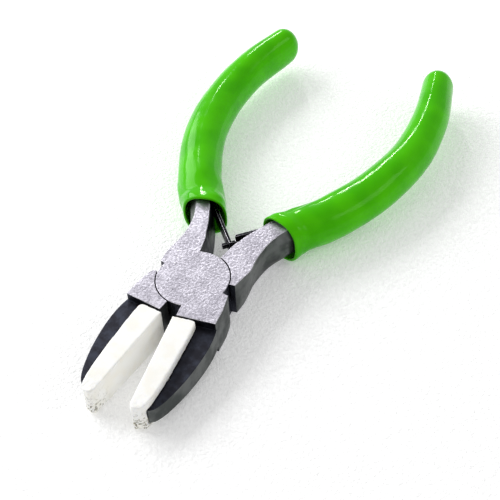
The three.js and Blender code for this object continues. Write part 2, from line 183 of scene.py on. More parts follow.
def signed_volume(mesh: bpy.types.Mesh) -> float:
    """Volume of a closed mesh, negative if its faces point inwards."""
    bm = bmesh.new()
    bm.from_mesh(mesh)
    volume = bm.calc_volume(signed=True)
    bm.free()
    return volume


def object_of(name: str, mesh: bpy.types.Mesh, sharp_over: float = 180.0) -> bpy.types.Object:
    """Links a mesh as an object at the origin, shaded smooth but for its sharp edges.

    Args:
        name: The object's name.
        mesh: Its mesh, in metres.
        sharp_over: Edges between faces that turn by more than this, in degrees, stay sharp.
    Returns:
        The new object.
    """
    if signed_volume(mesh) < 0:
        mesh.flip_normals()
    mesh.shade_smooth()
    if sharp_over < 180.0:
        mesh.set_sharp_from_angle(angle=math.radians(sharp_over))
    made = bpy.data.objects.new(name, mesh)
    bpy.context.scene.collection.objects.link(made)
    return made


def sleeve_mesh(name: str, rows: Array) -> bpy.types.Mesh:
    """Closed mesh of rings. The first and the last row are poles, and each other row is a ring.

    Args:
        name: The mesh's name.
        rows: Array (rows, columns, 3) in millimetres.
    Returns:
        The mesh, in metres.
    """
    count, columns = rows.shape[0] - 2, rows.shape[1]
    ring = np.arange(count * columns).reshape(count, columns)
    after = np.roll(ring, -1, axis=1)
    quads = np.stack([ring[:-1], after[:-1], after[1:], ring[1:]], axis=-1)
    first, last = count * columns, count * columns + 1
    start = np.stack([np.full(columns, first), after[0], ring[0]], axis=-1)
    end = np.stack([np.full(columns, last), ring[-1], after[-1]], axis=-1)
    points = np.concatenate([rows[1:-1].reshape(-1, 3), rows[:1, 0], rows[-1:, 0]]) * MM
    mesh = bpy.data.meshes.new(name)
    faces = quads.reshape(-1, 4).tolist() + start.tolist() + end.tolist()
    mesh.from_pydata(points.tolist(), [], faces)
    mesh.validate()
    return mesh


def merged_copy(node: str) -> bmesh.types.BMesh:
    """Copies a CAD node's mesh, with its doubles merged and flat triangles joined into faces."""
    bm = bmesh.new()
    bm.from_mesh(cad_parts[node].data)
    bmesh.ops.remove_doubles(bm, verts=bm.verts, dist=DOUBLES * MM)
    bmesh.ops.dissolve_degenerate(bm, edges=bm.edges, dist=SLIVER * MM)
    flat = math.radians(FLAT_WITHIN)
    bmesh.ops.dissolve_limit(bm, angle_limit=flat, verts=bm.verts, edges=bm.edges)
    return bm


def mesh_of(bm: bmesh.types.BMesh, name: str) -> bpy.types.Mesh:
    """Puts a bmesh into a new mesh and frees it."""
    mesh = bpy.data.meshes.new(name)
    bm.to_mesh(mesh)
    bm.free()
    return mesh


def break_edges(
    bm: bmesh.types.BMesh, sharper_than: float, width: float, bare: float = 0.0
) -> None:
    """Rounds edges that turn by more than an angle, and marks the new faces as "worn".

    Args:
        bm: The mesh, in metres.
        sharper_than: Degrees.
        width: Width of the rounding, in millimetres.
        bare: Edges nearer to the pivot axis than this many millimetres are left alone.
    """
    worn = bm.faces.layers.int.new("worn")
    limit = math.radians(sharper_than)
    sharp = [
        e
        for e in bm.edges
        if e.is_manifold and e.calc_face_angle() > limit and e.verts[0].co.xy.length > bare * MM
    ]
    made = bmesh.ops.bevel(
        bm,
        geom=sharp,
        offset=width * MM,
        segments=2,
        profile=0.6,
        affect="EDGES",
        clamp_overlap=False,
    )
    for face in made["faces"]:
        face[worn] = 1


def worn_faces(mesh: bpy.types.Mesh) -> Array:
    """1 for each face that break_edges made and 0 for each other one."""
    worn = np.empty(len(mesh.polygons), dtype=np.int32)
    mesh.attributes["worn"].data.foreach_get("value", worn)
    return worn


def coordinates(mesh: bpy.types.Mesh) -> Array:
    """Vertex positions as an array (count, 3) in millimetres."""
    flat = np.empty(len(mesh.vertices) * 3)
    mesh.vertices.foreach_get("co", flat)
    return flat.reshape(-1, 3) / MM


def normals(mesh: bpy.types.Mesh) -> Array:
    """Vertex normals as an array (count, 3)."""
    flat = np.empty(len(mesh.vertices) * 3)
    mesh.vertices.foreach_get("normal", flat)
    return flat.reshape(-1, 3)


def set_coordinates(mesh: bpy.types.Mesh, points: Array) -> None:
    """Puts positions in millimetres into a mesh."""
    mesh.vertices.foreach_set("co", (points * MM).ravel())
    mesh.update()


def apply_modifiers(made: bpy.types.Object) -> None:
    """Puts the result of an object's modifiers into its mesh."""
    graph = bpy.context.evaluated_depsgraph_get()
    mesh = bpy.data.meshes.new_from_object(made.evaluated_get(graph))
    made.modifiers.clear()
    made.data = mesh


# ---------------------------------------------------------------- finishes


def linear(colour: str) -> tuple[float, float, float, float]:
    """Turns an sRGB colour such as "#4FC802" into linear values with alpha 1."""
    parts = [int(colour[i : i + 2], 16) / 255 for i in (1, 3, 5)]
    r, g, b = (c / 12.92 if c <= 0.04045 else ((c + 0.055) / 1.055) ** 2.4 for c in parts)
    return r, g, b, 1.0


def per_unit(size: float) -> float:
    """Scale of a pattern whose features are size millimetres across, on coordinates in metres."""
    return 1 / (size * MM)


class Surface:
    """A material under construction: a Principled shader on Object coordinates."""

    def __init__(self, name: str) -> None:
        """Starts the material with that name."""
        self.material = bpy.data.materials.new(name)
        self.material.use_nodes = True
        self.tree = self.material.node_tree
        self.shader = self.tree.nodes["Principled BSDF"]
        self.place = self.add("ShaderNodeTexCoord").outputs["Object"]

    def add(self, kind: str, settings: dict | None = None, **values: object) -> bpy.types.Node:
        """Adds a node, sets its properties and fills its sockets.

        Args:
            kind: The node's type name.
            settings: Properties by name.
            values: Sockets by name, with _ for a space, each a value or another node's output.
        Returns:
            The node.
        """
        node = self.tree.nodes.new(kind)
        for name, value in (settings or {}).items():
            setattr(node, name, value)
        for name, value in values.items():
            self.fill(node, name.replace("_", " "), value)
        return node

    def fill(self, node: bpy.types.Node, name: str, value: object) -> None:
        """Sets one socket of a node, or links an output to it. A name such as "3" is its number."""
        socket = node.inputs[int(name)] if name.isdigit() else node.inputs[name]
        if isinstance(value, bpy.types.NodeSocket):
            self.tree.links.new(value, socket)
        else:
            socket.default_value = value

    def noise(self, size: float, detail: float = 2.0, rough: float = 0.5) -> bpy.types.NodeSocket:
        """Noise whose blotches are size millimetres across."""
        node = self.add(
            "ShaderNodeTexNoise",
            Vector=self.place,
            Scale=per_unit(size),
            Detail=detail,
            Roughness=rough,
        )
        return node.outputs["Fac"]

    def ramp(
        self,
        value: bpy.types.NodeSocket,
        low: float,
        high: float,
        start: float = 0.0,
        end: float = 1.0,
    ) -> bpy.types.NodeSocket:
        """Takes low..high to start..end smoothly and holds it there."""
        node = self.add(
            "ShaderNodeMapRange",
            {"interpolation_type": "SMOOTHSTEP"},
            Value=value,
            From_Min=low,
            From_Max=high,
            To_Min=start,
            To_Max=end,
        )
        return node.outputs["Result"]

    def blend(self, share: bpy.types.NodeSocket, a: object, b: object) -> bpy.types.NodeSocket:
        """Colour that goes from a to b as share goes from 0 to 1."""
        node = self.add("ShaderNodeMix", {"data_type": "RGBA"})
        for number, value in ((0, share), (6, a), (7, b)):
            self.fill(node, str(number), value)
        return node.outputs[2]

    def sums(self, kind: str, a: object, b: object) -> bpy.types.NodeSocket:
        """Maths on two values, such as MULTIPLY or ADD."""
        node = self.add("ShaderNodeMath", {"operation": kind})
        self.fill(node, "0", a)
        self.fill(node, "1", b)
        return node.outputs[0]

    def bump(self, height: bpy.types.NodeSocket, depth: float, strength: float = 1.0) -> None:
        """Gives the shader a bump whose full height is depth millimetres."""
        values = {"Height": height, "Distance": depth * MM, "Strength": strength}
        self.fill(self.shader, "Normal", self.add("ShaderNodeBump", **values).outputs["Normal"])

    def axis(self, name: str) -> bpy.types.NodeSocket:
        """One of X, Y or Z of the Object coordinates."""
        return self.add("ShaderNodeSeparateXYZ", Vector=self.place).outputs[name]

    def shade(self, **values: object) -> bpy.types.Material:
        """Fills the shader's sockets and hands back the material."""
        for name, value in values.items():
            self.fill(self.shader, name.replace("_", " "), value)
        return self.material


@dataclass(frozen=True)
class GroundSteel:
    """Forged carbon steel whose flats were ground on a belt, then handled.

    It gives a pale satin with fine dark pits, which the forging's scale left.
    """

    pale: str = "#C7C4CE"
    dull: str = "#B4B1BB"
    pit: str = "#5C5A62"
    shaded: str = "#918E98"
    grain: float = 0.65  # belt grit is finer than this, and is drawn coarser so that it shows
    pits: float = 0.715  # a little wider than the grain
    patch: float = 5.0  # where the belt pressed harder
    pit_share: float = 0.55
    shaded_share: float = 0.45
    depth: float = 0.11
    roughness: float = 0.46

    def make(self) -> bpy.types.Material:
        """Builds the material."""
        s = Surface("steel_ground_satin")
        grit = s.noise(self.grain, 2, 0.5)
        patch = s.noise(self.patch, 2)
        base = s.blend(s.ramp(patch, 0.4, 0.62), linear(self.pale), linear(self.dull))
        pits = s.ramp(s.noise(self.pits, 3, 0.65), 0.56, 0.66)
        colour = s.blend(s.sums("MULTIPLY", pits, self.pit_share), base, linear(self.pit))
        dark = s.ramp(grit, 0.4, 0.62, 0.0, self.shaded_share)
        mottled = s.blend(dark, colour, linear(self.shaded))
        s.bump(grit, self.depth)
        rough = s.ramp(grit, 0.3, 0.7, self.roughness - 0.08, self.roughness + 0.08)
        return s.shade(Base_Color=mottled, Metallic=1.0, Roughness=rough)


@dataclass(frozen=True)
class WornSteel:
    """The same steel where a broken edge was rubbed: smoother and brighter than the flats."""

    bright: str = "#E6E4EA"
    dull: str = "#A9A8B0"
    rub: float = 1.6  # length of a rubbed stretch
    scratch: float = 0.4

    def make(self) -> bpy.types.Material:
        """Builds the material."""
        s = Surface("steel_worn_edge")
        wear = s.noise(self.rub, 3)
        colour = s.blend(s.ramp(wear, 0.4, 0.65), linear(self.bright), linear(self.dull))
        s.bump(s.noise(self.scratch, 2), 0.02, 0.4)
        rough = s.ramp(wear, 0.3, 0.7, 0.28, 0.45)
        return s.shade(Base_Color=colour, Metallic=1.0, Roughness=rough)


@dataclass(frozen=True)
class BlastedSteel:
    """Forged sides cleaned by shot blasting: an even mid grey, smooth, with soft stains."""

    grey: str = "#686B6A"
    stain: str = "#4B4F4E"
    stains: float = 6.0
    shot: float = 0.4

    def make(self) -> bpy.types.Material:
        """Builds the material."""
        s = Surface("steel_blasted_side")
        cloud = s.noise(self.stains, 3)
        colour = s.blend(s.ramp(cloud, 0.42, 0.62), linear(self.grey), linear(self.stain))
        s.bump(s.noise(self.shot, 2), 0.03, 0.45)
        rough = s.ramp(cloud, 0.3, 0.7, 0.4, 0.55)
        return s.shade(Base_Color=colour, Metallic=0.9, Roughness=rough)


@dataclass(frozen=True)
class BlackOxide:
    """Steel blacked in a hot salt bath: blue black and a little cloudy, with the skin under it."""

    name: str = "steel_black_oxide_and_shade"
    black: str = "#2E2E35"
    blue: str = "#3B3E49"
    roughness: float = 0.42
    cloud: float = 2.6
    skin: float = 0.8

    def make(self) -> bpy.types.Material:
        """Builds the material."""
        s = Surface(self.name)
        cloud = s.noise(self.cloud, 4, 0.6)
        colour = s.blend(s.ramp(cloud, 0.38, 0.66), linear(self.black), linear(self.blue))
        s.bump(s.noise(self.skin, 3), 0.05, 0.5)
        rough = s.ramp(cloud, 0.3, 0.7, self.roughness - 0.07, self.roughness + 0.1)
        return s.shade(Base_Color=colour, Metallic=1.0, Roughness=rough)


@dataclass(frozen=True)
class DippedVinyl:
    """Plasticised PVC from a hot dip: saturated, glossy and lumpy, deeper where it is thick."""

    lit: str = "#4BBE00"
    deep: str = "#40B000"
    roughness: float = 0.12
    flow: float = 9.0  # width of the runs that the dip left
    skin: float = 2.2
    smear: float = 3.4  # width of the marks of handling

    def make(self) -> bpy.types.Material:
        """Builds the material."""
        s = Surface("pvc_dipped_lime")
        flow = s.ramp(s.noise(self.flow, 2), 0.35, 0.65)
        colour = s.blend(flow, linear(self.lit), linear(self.deep))
        smears = s.noise(self.smear, 4, 0.6)
        handled = s.ramp(smears, 0.35, 0.7, self.roughness - 0.05, self.roughness + 0.1)
        s.bump(s.noise(self.skin, 2), 0.05, 0.35)
        return s.shade(
            Base_Color=colour,
            Roughness=handled,
            IOR=1.53,
            Specular_IOR_Level=0.16,
            Specular_Tint=linear("#D8FFB0"),
        )


@dataclass(frozen=True)
class MouldedNylon:
    """Natural nylon 6 from a mould: milky white, a little see-through, dirty at the biting end."""

    white: str = "#FAFAF7"
    cream: str = "#F7F5EE"
    dirt: str = "#7A7560"
    scuff_start: float = -33.0  # distances along Y
    scuff_full: float = -40.5
    dirt_top: float = 8.5  # heights between which the specks grow denser towards the bottom
    dirt_full: float = 2.0
    top_share: float = 0.08  # what is left of the specks above their top
    plain_share: float = 0.12  # what is left of the scuffs before their start
    cloud: float = 4.0
    speck: float = 0.8
    scuff: float = 0.6

    def make(self) -> bpy.types.Material:
        """Builds the material."""
        s = Surface("nylon_moulded_white")
        cloud = s.noise(self.cloud, 3)
        base = s.blend(s.ramp(cloud, 0.4, 0.65), linear(self.white), linear(self.cream))
        tip = s.ramp(s.axis("Y"), self.scuff_start * MM, self.scuff_full * MM)
        # the darker specks grow denser towards the bottom of the pad
        low = s.ramp(s.axis("Z"), self.dirt_top * MM, self.dirt_full * MM)
        specks = s.ramp(s.noise(self.speck, 5, 0.7), 0.5, 0.62)
        where = s.sums("MULTIPLY", tip, s.sums("ADD", low, self.top_share))
        colour = s.blend(s.sums("MULTIPLY", specks, where), base, linear(self.dirt))
        scuffed = s.sums("ADD", tip, self.plain_share)
        s.bump(s.sums("MULTIPLY", s.noise(self.scuff, 4, 0.65), scuffed), 0.25, 0.6)
        return s.shade(
            Base_Color=colour,
            Roughness=s.ramp(cloud, 0.3, 0.7, 0.42, 0.6),
            IOR=1.53,
            Subsurface_Weight=0.15,
            Subsurface_Radius=(1.0, 0.9, 0.7),
            Subsurface_Scale=1.0 * MM,
        )


@dataclass(frozen=True)
class BenchPaper:
    """White embossed board under the pliers: matte, with a fine pebble."""

    white: str = "#F8F8F8"
    # painted shade of the pebble: a grey laid on the same noise that raises its bump
    hollow: str = "#EDEDED"
    pebble: float = 0.9
    depth: float = 0.5
    glow: float = 0.22  # an overlit board clears its own shadows

    def make(self) -> bpy.types.Material:
        """Builds the material."""
        s = Surface("board_white_embossed")
        # this grain drives both the pebble's bump and its painted shade
        grain = s.noise(self.pebble, 3, 0.6)
        s.bump(grain, self.depth, 0.9)
        return s.shade(
            Base_Color=s.blend(s.ramp(grain, 0.35, 0.65), linear(self.white), linear(self.hollow)),
            Roughness=0.75,
            Emission_Color=linear(self.white),
            Emission_Strength=self.glow,
        )


class Finishes:
    """Every finish, made once."""

    def __init__(self) -> None:
        """Builds the materials."""
        self.ground = GroundSteel().make()
        self.worn = WornSteel().make()
        self.blasted = BlastedSteel().make()
        # the jaws' own black finish, also used on the forgings as painted shade on walls in shadow
        self.black = BlackOxide().make()
        self.spring = BlackOxide(
            name="steel_spring_blacked", black="#1D1D1F", blue="#2B2C30", roughness=0.3
        ).make()
        self.vinyl = DippedVinyl().make()
        self.nylon = MouldedNylon().make()
        self.board = BenchPaper().make()


class Piece(Protocol):
    """What main asks of each piece that stands for a CAD node."""

    def build(self) -> bpy.types.Object:
        """Makes the piece's mesh."""

    def dress(self, made: bpy.types.Object, finishes: Finishes) -> None:
        """Gives the piece its finish, body and slot."""


def settle(made: bpy.types.Object, body: str, node: str) -> None:
    """Makes a piece ride on a body, hides the CAD node it stands for, and reports it.

    Args:
        made: The piece.
        body: The CAD body.
        node: The CAD node.
    """
    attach(made, body)
    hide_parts(node)
    LOG.info("%s: %d faces, rides on %s", made.name, len(made.data.polygons), body)


# ---------------------------------------------------------------- forged halves


class SteelFace(IntEnum):
    """A forging's material slots, in their order."""

    GROUND = 0
    BLASTED = 1
    # blacked jaws, and painted shade on forging walls that lie in shadow
    BLACK = 2
    WORN = 3


@dataclass
class ForgedHalf:
    """One forging: joint, tang, jaw tongue and the handle inside the grip."""

    half: Half
    edge_break: float = 0.11
    broken_over: float = 28.0  # degrees
    sharp_over: float = 20.0  # degrees
    rivet_reach: float = 3.9  # edges nearer to the pivot axis stay sharp

    tang_end: float = 26.35
    tang_margin: float = 0.05
    tang_deeper: float = 3.2
    tang_way: tuple[float, float] = (-0.42, 0.9)  # how the handle runs there, for each millimetre
    tang_pinch: float = 0.86

    flat_margin: float = 0.03
    wall_margin: float = 0.6
    rubbed_depth: float = 0.4
    rubbed_end: float = 22.35
    inner_wall_start: float = 7.2
    jaw_start: float = -13.0
    tongue_start: float = -12.0
    jaw_inside_start: float = -11.2

    flat_facing: float = 0.9  # how far a face's normal has to lean along an axis to count
    step_facing: float = -0.75
    tongue_facing: float = 0.6
    wall_facing: float = 0.35
    inside_facing: float = -0.4

    @property
    def node(self) -> str:
        """The CAD node it stands for."""
        return f"{self.half.value}_half"

    @property
    def name(self) -> str:
        """The piece's name."""
        return f"{self.half.value}_forging"

    def build(self) -> bpy.types.Object:
        """Copies the CAD node, joins its flat faces and breaks its edges."""
        bm = merged_copy(self.node)
        self.deepen_tang(bm)
        break_edges(bm, self.broken_over, self.edge_break, self.rivet_reach)
        return object_of(self.name, mesh_of(bm, self.name), self.sharp_over)

    def deepen_tang(self, bm: bmesh.types.BMesh) -> None:
        """Runs the tang's end farther into the sleeve, so that no step shows in the mouth.

        The end goes along the handle, and its height is drawn in about the joint's middle.
        """
        closed = self.half.to_closed(np.array([v.co[:] for v in bm.verts]) / MM)
        end = np.abs(closed[:, 1] - self.tang_end) < self.tang_margin
        closed[end, :2] += np.array(self.tang_way) * self.tang_deeper
        closed[end, 2] = mix(JOINT.middle, closed[end, 2], self.tang_pinch)
        moved = self.half.to_rest(closed) * MM
        for vertex, place in zip(bm.verts, moved):  # a bmesh takes them one by one
            vertex.co = place

    def dress(self, made: bpy.types.Object, finishes: Finishes) -> None:
        """Gives each face its finish by where it lies and how it faces in the closed half."""
        mesh = made.data
        slots = {
            SteelFace.GROUND: finishes.ground,
            SteelFace.BLASTED: finishes.blasted,
            SteelFace.BLACK: finishes.black,
            SteelFace.WORN: finishes.worn,
        }
        for face in SteelFace:
            mesh.materials.append(slots[face])
        count = len(mesh.polygons)
        centre, facing = np.empty(count * 3), np.empty(count * 3)
        mesh.polygons.foreach_get("center", centre)
        mesh.polygons.foreach_get("normal", facing)
        centre = self.half.to_closed(centre.reshape(-1, 3) / MM)
        facing = self.half.to_closed(facing.reshape(-1, 3)) - self.half.to_closed(np.zeros(3))
        x, y, z = centre.T
        across, along, upward = facing[:, 0], facing[:, 1], np.abs(facing[:, 2])
        depth = np.minimum(np.abs(z), np.abs(z - JOINT.thickness))
        flat = (depth < self.flat_margin) & (upward > self.flat_facing)
        rubbed = (worn_faces(mesh) == 1) & (depth < self.rubbed_depth)
        rubbed &= (y > self.jaw_start) & (y < self.rubbed_end)
        # painted shade: the walls round the boss lie in shadow and get the black oxide
        boss_wall_shade = np.abs(np.hypot(x, y) - JOINT.boss_radius) < self.wall_margin
        step = (along < self.step_facing) & (y < JOINT.boss_radius) & (y > self.jaw_start)
        tongue_face = (y < self.tongue_start) & (upward > self.tongue_facing)
        # painted shade: the tang's inner wall, towards the spring, lies in shadow and gets the
        # black oxide
        inner_wall_shade = (y > self.inner_wall_start) & (across > self.wall_facing)
        jaw_inside = (y < self.jaw_inside_start) & (across < self.inside_facing)
        choice = np.full(count, SteelFace.BLASTED, dtype=np.int32)
        choice[boss_wall_shade | step | tongue_face | inner_wall_shade | jaw_inside] = SteelFace.BLACK
        choice[rubbed] = SteelFace.WORN
        choice[flat] = SteelFace.GROUND
        mesh.polygons.foreach_set("material_index", choice)
        settle(made, self.half.body, self.node)


@dataclass
class PivotRivet:
    """The rivet, ground flush. Its heads fill the countersinks, so that the joint reads as one."""

    node: str = "pivot_rivet"
    name: str = "flush_rivet"
    fill: float = 0.06  # the CAD's clearance, and a little over
    core: float = 1.0  # nearer to the axis than this the growth fades out
    sharp_over: float = 25.0  # degrees

    def build(self) -> bpy.types.Object:
        """Copies the CAD rivet and takes it outwards: radius r goes to r (1 + fill / r)."""
        mesh = mesh_of(merged_copy(self.node), self.name)
        points = coordinates(mesh)
        radius = np.hypot(points[:, 0], points[:, 1])
        grow = 1 + self.fill / np.maximum(radius, self.core)
        points[:, :2] *= grow[:, None]
        set_coordinates(mesh, points)
        return object_of(self.name, mesh, self.sharp_over)

    def dress(self, made: bpy.types.Object, finishes: Finishes) -> None:
        """Ground with the flats, so it has their finish."""
        made.data.materials.append(finishes.ground)
        settle(made, Half.LOWER.body, self.node)


# ---------------------------------------------------------------- nylon jaws


@dataclass
class NylonJaw:
    """A moulded pad: soft edges from the mould, chewed at the biting end."""

    half: Half
    seed: int
    voxel: float = 0.2
    smoothing: int = 5
    chew_start: float = -35.5  # distances along Y
    chew_full: float = -40.0
    chew_top: float = 8.0  # height from which the chewing grows downwards
    chew_run: float = 6.0
    top_share: float = 0.35  # share of the depth above that height
    chew_depth: float = 0.13
    fine: float = 1.1  # wavelengths of the dents
    coarse: float = 2.6
    fine_share: float = 0.6
    coarse_share: float = 0.5

    @property
    def node(self) -> str:
        """The CAD node it stands for."""
        return f"{self.half.jaw}_nylon_jaw"

    def build(self) -> bpy.types.Object:
        """Remeshes the CAD pad evenly, softens it and chews its tip.

        The chewing is two ripples less 1, so that nearly all of it goes inwards.
        """
        plain = mesh_of(merged_copy(self.node), "nylon")
        made = object_of(f"{self.half.jaw}_nylon_pad", plain)
        even = made.modifiers.new("even", "REMESH")
        even.mode = "VOXEL"
        even.voxel_size = self.voxel * MM
        soft = made.modifiers.new("soft", "SMOOTH")
        soft.factor = 0.5
        soft.iterations = self.smoothing
        apply_modifiers(made)
        mesh = made.data
        points = coordinates(mesh)
        tip = ease((points[:, 1] - self.chew_start) / (self.chew_full - self.chew_start))
        low = ease((self.chew_top - points[:, 2]) / self.chew_run)
        dents = self.fine_share * ripple(points, self.fine, self.seed)
        dents += self.coarse_share * ripple(points, self.coarse, self.seed + 1)
        depth = self.chew_depth * tip * mix(self.top_share, 1.0, low) * (dents - 1)
        set_coordinates(mesh, points + normals(mesh) * depth[:, None])
        mesh.shade_smooth()
        return made

    def dress(self, made: bpy.types.Object, finishes: Finishes) -> None:
        """White nylon all over."""
        made.data.materials.clear()
        made.data.materials.append(finishes.nylon)
        settle(made, self.half.body, self.node)


# ---------------------------------------------------------------- grips


@dataclass(frozen=True)
class HandlePath:
    """Centreline of the closed half's handle, as the frame has it: an even Catmull-Rom curve."""

    mouth_y: float = 24.75
    mouth_x: float = 7.75
    length: float = 74.15
    bow: float = 19.95
    end_half_width: float = 4.2
    shares: tuple[tuple[float, float], ...] = (  # of the bow, and of the way to the end's centre
        (0.582, 0.112),
        (0.74, 0.207),
        (0.917, 0.356),
        (1.0, 0.516),
        (0.977, 0.675),
        (0.844, 0.837),
        (0.61, 1.0),
    )

    def knots(self) -> Array:
        """Points that the curve goes through, from the mouth to the centre of the round end."""
        end_y = self.mouth_y + self.length - self.end_half_width
        shares = np.array(self.shares)
        way = mix(self.mouth_y, end_y, shares[:, 1])
        rest = np.stack([-shares[:, 0] * self.bow, way], axis=-1)
        return np.concatenate([[[-self.mouth_x, self.mouth_y]], rest])

    def dense(self, each: int = 60) -> tuple[Array, Array]:
        """Samples the curve.

        Between knots b and c, with a before and d after, a point at t is
        b + (c-a)t/2 + (a-5b/2+2c-d/2)t^2 + (3(b-c)+d-a)t^3/2.

        Args:
            each: Samples between two knots.
        Returns:
            Points (count, 2) and the distance of each along the curve.
        """
        k = self.knots()
        before, after = np.concatenate([k[:1], k[:-2]]), np.concatenate([k[2:], k[-1:]])
        a, b, c, d = (p[:, None, :] for p in (before, k[:-1], k[1:], after))
        t = np.linspace(0, 1, each, endpoint=False)[None, :, None]
        line = b + (c - a) * t / 2
        bend = (a - 2.5 * b + 2 * c - d / 2) * t**2
        twist = (3 * (b - c) + d - a) * t**3 / 2
        points = np.concatenate([(line + bend + twist).reshape(-1, 2), k[-1:]])
        steps = np.linalg.norm(np.diff(points, axis=0), axis=1)
        return points, np.concatenate([[0], np.cumsum(steps)])

    def at(self, stations: Array) -> tuple[Array, Array]:
        """Points and directions at distances along the curve.

        Args:
            stations: Array (count,) in millimetres, held within the curve.
        Returns:
            Points (count, 2) and unit tangents (count, 2).
        """
        points, distance = self.dense()
        held = np.clip(stations, 0, distance[-1])
        tangents = np.gradient(points, distance, axis=0)
        where = np.stack([np.interp(held, distance, points[:, i]) for i in (0, 1)], axis=-1)
        way = np.stack([np.interp(held, distance, tangents[:, i]) for i in (0, 1)], axis=-1)
        return where, way / np.linalg.norm(way, axis=1)[:, None]

    def total(self) -> float:
        """Length of the curve."""
        return float(self.dense()[1][-1])


@dataclass(frozen=True)
class Mouth:
    """How one sleeve's mouth was cut and creased."""

    tilt: float  # how far it is turned from square to the tool, in degrees
    back: float  # how much farther its middle lies from the pivot
    top: float  # and its top, beyond that
    crease_at: float  # angle round the section where the sleeve is creased, in degrees


MOUTHS = {
    Half.UPPER: Mouth(tilt=9.0, back=0.8, top=0.1, crease_at=150.0),
    Half.LOWER: Mouth(tilt=9.0, back=0.9, top=0.1, crease_at=-60.0),
}


